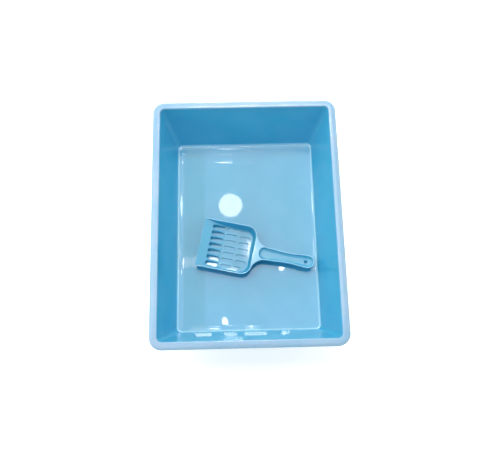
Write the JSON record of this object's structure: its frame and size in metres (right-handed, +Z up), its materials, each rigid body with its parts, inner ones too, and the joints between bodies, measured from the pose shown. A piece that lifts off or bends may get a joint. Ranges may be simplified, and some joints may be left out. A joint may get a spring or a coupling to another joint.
{
  "type": "litter tray",
  "caption": "Low open rectangular litter tray with sloping walls and a rounded turned-down lip, and a slotted scoop with a channelled handle lying loose in it.",
  "frame": {"origin": "on the ground under the middle of the tray", "axes": "+Z up, +Y along the tray to its far end, +X to the right, towards the end of the scoop's handle"},
  "size_m": [0.37, 0.495, 0.131],
  "materials": {
    "tray": "smooth glossy injection-moulded polypropylene, light blue",
    "scoop": "smooth glossy injection-moulded polypropylene, light blue"
  },
  "bodies": {
    "tray": {"tray": "tray"},
    "scoop": {"scoop": "scoop"}
  },
  "joints": [
    {"name": "scoop_lift", "type": "slide", "parent": "tray", "child": "scoop", "axis": [0, 0, 1], "range_m": [0, 0.15]}
  ]
}
